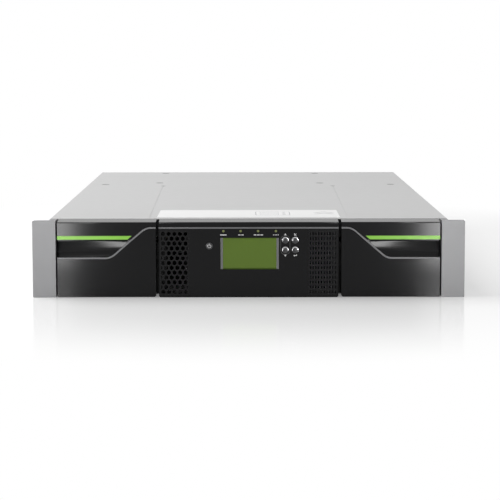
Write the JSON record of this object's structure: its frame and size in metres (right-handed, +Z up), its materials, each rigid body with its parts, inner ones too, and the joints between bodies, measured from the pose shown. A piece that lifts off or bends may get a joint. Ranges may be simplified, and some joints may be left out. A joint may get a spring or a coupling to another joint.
{
  "type": "data tape library",
  "caption": "rack-mount tape library with two pull-out cartridge magazines, a travelling picker robot, two rear drives and a front control panel with display and keys",
  "frame": {"origin": "middle of the underside of the whole object's box", "axes": "+X to the right seen from the front, +Y from the front to the rear, +Z up; the front faces -Y"},
  "size_m": [0.4826, 0.8026, 0.086],
  "materials": {
    "light_sheet": "smooth light grey satin paint",
    "zinc_sheet": "plain zinc plated sheet",
    "dark_frame": "black satin paint",
    "ear_plastic": "fine grain light grey plastic",
    "front_plastic": "dark charcoal satin moulding",
    "vent_plastic": "matt black moulding",
    "screen_mesh": "dark grey perforated sheet",
    "trim_line": "silver grey painted strip",
    "stripe": "bright green moulded strip",
    "display_glass": "green backlit display",
    "display_bar": "grey display bars",
    "light_pipe": "clear yellow green light pipes",
    "circuit_board": "green circuit board",
    "key_silver": "dark keys with silver edges",
    "key_black": "black push button",
    "tray_plastic": "dark grey magazine plastic",
    "divider_plastic": "grey magazine plastic",
    "bright_steel": "ground steel rods",
    "robot_sheet": "plain aluminium sheet",
    "motor_black": "black motor cans",
    "belt_rubber": "black toothed belt",
    "gear_plastic": "natural white gear plastic",
    "brass": "brass levers",
    "rail_plastic": "dark rail moulding",
    "drive_case": "dark drive case",
    "socket_plastic": "black socket moulding",
    "socket_metal": "plated port shells"
  },
  "bodies": {
    "chassis": {"chassis_tray": "light_sheet", "top_cover": "light_sheet", "chassis_screws": "bright_steel", "front_frame": "dark_frame", "rear_panel": "zinc_sheet", "left_ear_bracket": "zinc_sheet", "right_ear_bracket": "zinc_sheet", "left_ear_cover": "ear_plastic", "right_ear_cover": "ear_plastic", "control_bezel": "front_plastic", "vent_grilles": "vent_plastic", "vent_screens": "screen_mesh", "centre_trim": "trim_line", "display_frame": "display_bar", "display": "display_glass", "status_lights": "light_pipe", "keypad_board": "circuit_board", "magazine_guides": "rail_plastic", "robot_rails": "rail_plastic", "drive_cage": "zinc_sheet", "power_supply": "zinc_sheet", "power_inlet": "socket_plastic", "fan_guard": "bright_steel", "controller_module": "zinc_sheet", "port_connectors": "socket_metal"},
    "left_magazine": {"left_magazine_bezel": "front_plastic", "left_magazine_stripe": "stripe", "left_magazine_trim": "trim_line", "left_magazine_tray": "tray_plastic", "left_magazine_dividers": "divider_plastic", "left_magazine_shelves": "divider_plastic"},
    "right_magazine": {"right_magazine_bezel": "front_plastic", "right_magazine_stripe": "stripe", "right_magazine_trim": "trim_line", "right_magazine_tray": "tray_plastic", "right_magazine_dividers": "divider_plastic", "right_magazine_shelves": "divider_plastic"},
    "up_key": {"up_key": "key_silver"},
    "down_key": {"down_key": "key_silver"},
    "cancel_key": {"cancel_key": "key_silver"},
    "enter_key": {"enter_key": "key_silver"},
    "power_button": {"power_button": "key_black"},
    "left_latch": {"left_magazine_latch": "brass"},
    "right_latch": {"right_magazine_latch": "brass"},
    "carriage": {"carriage_frame": "robot_sheet", "lift_posts": "bright_steel", "carriage_top": "robot_sheet", "robot_motors": "motor_black", "lift_belt": "belt_rubber"},
    "travel_pinion": {"travel_pinion": "gear_plastic"},
    "lift_screw": {"lift_screw": "bright_steel"},
    "lift": {"lift_frame": "robot_sheet"},
    "turntable": {"turntable": "robot_sheet"},
    "picker": {"picker": "tray_plastic", "barcode_reader": "motor_black"},
    "lower_drive": {"lower_drive": "drive_case", "lower_drive_sled": "zinc_sheet"},
    "upper_drive": {"upper_drive": "drive_case", "upper_drive_sled": "zinc_sheet"},
    "fan": {"fan_rotor": "socket_plastic"}
  },
  "joints": [
    {"name": "left_magazine_slide", "type": "slide", "parent": "chassis", "child": "left_magazine", "axis": [0, 1, 0], "range_m": [-0.47, 0]},
    {"name": "right_magazine_slide", "type": "slide", "parent": "chassis", "child": "right_magazine", "axis": [0, 1, 0], "range_m": [-0.47, 0]},
    {"name": "up_key_press", "type": "slide", "parent": "chassis", "child": "up_key", "axis": [0, 1, 0], "range_m": [0, 0.001], "stiffness_N_per_m": 400},
    {"name": "down_key_press", "type": "slide", "parent": "chassis", "child": "down_key", "axis": [0, 1, 0], "range_m": [0, 0.001], "stiffness_N_per_m": 400},
    {"name": "cancel_key_press", "type": "slide", "parent": "chassis", "child": "cancel_key", "axis": [0, 1, 0], "range_m": [0, 0.001], "stiffness_N_per_m": 400},
    {"name": "enter_key_press", "type": "slide", "parent": "chassis", "child": "enter_key", "axis": [0, 1, 0], "range_m": [0, 0.001], "stiffness_N_per_m": 400},
    {"name": "power_button_press", "type": "slide", "parent": "chassis", "child": "power_button", "axis": [0, 1, 0], "range_m": [0, 0.001], "stiffness_N_per_m": 400},
    {"name": "left_latch_swing", "type": "hinge", "parent": "chassis", "child": "left_latch", "pos_m": [-0.097, -0.36565, 0.0625], "axis": [0, 0, 1], "range_deg": [0, 14]},
    {"name": "right_latch_swing", "type": "hinge", "parent": "chassis", "child": "right_latch", "pos_m": [0.097, -0.36565, 0.0625], "axis": [0, 0, -1], "range_deg": [0, 14]},
    {"name": "robot_travel", "type": "slide", "parent": "chassis", "child": "carriage", "axis": [0, 1, 0], "range_m": [-0.333, 0]},
    {"name": "travel_pinion_turn", "type": "hinge", "parent": "carriage", "child": "travel_pinion", "pos_m": [0.0912, 0.12635, 0.004], "axis": [0, 0, 1], "continuous": true},
    {"name": "robot_lift", "type": "slide", "parent": "carriage", "child": "lift", "axis": [0, 0, 1], "range_m": [0, 0.0508]},
    {"name": "lift_screw_turn", "type": "hinge", "parent": "carriage", "child": "lift_screw", "pos_m": [-0.09, -0.00365, 0.04], "axis": [0, 0, 1], "continuous": true},
    {"name": "turntable_turn", "type": "hinge", "parent": "lift", "child": "turntable", "pos_m": [0, 0.06035, 0.0032], "axis": [0, 0, 1], "range_deg": [-90, 90]},
    {"name": "picker_slide", "type": "slide", "parent": "turntable", "child": "picker", "axis": [0, 1, 0], "range_m": [0, 0.1]},
    {"name": "lower_drive_slide", "type": "slide", "parent": "chassis", "child": "lower_drive", "axis": [0, 1, 0], "range_m": [0, 0.2]},
    {"name": "upper_drive_slide", "type": "slide", "parent": "chassis", "child": "upper_drive", "axis": [0, 1, 0], "range_m": [0, 0.2]},
    {"name": "fan_turn", "type": "hinge", "parent": "chassis", "child": "fan", "pos_m": [-0.136, 0.35535, 0.043], "axis": [0, 1, 0], "continuous": true}
  ],
  "couplings": [
    {"joint": "travel_pinion_turn", "follows": "robot_travel", "rad_per_m": -147.06},
    {"joint": "lift_screw_turn", "follows": "robot_lift", "rad_per_m": 523.6}
  ]
}
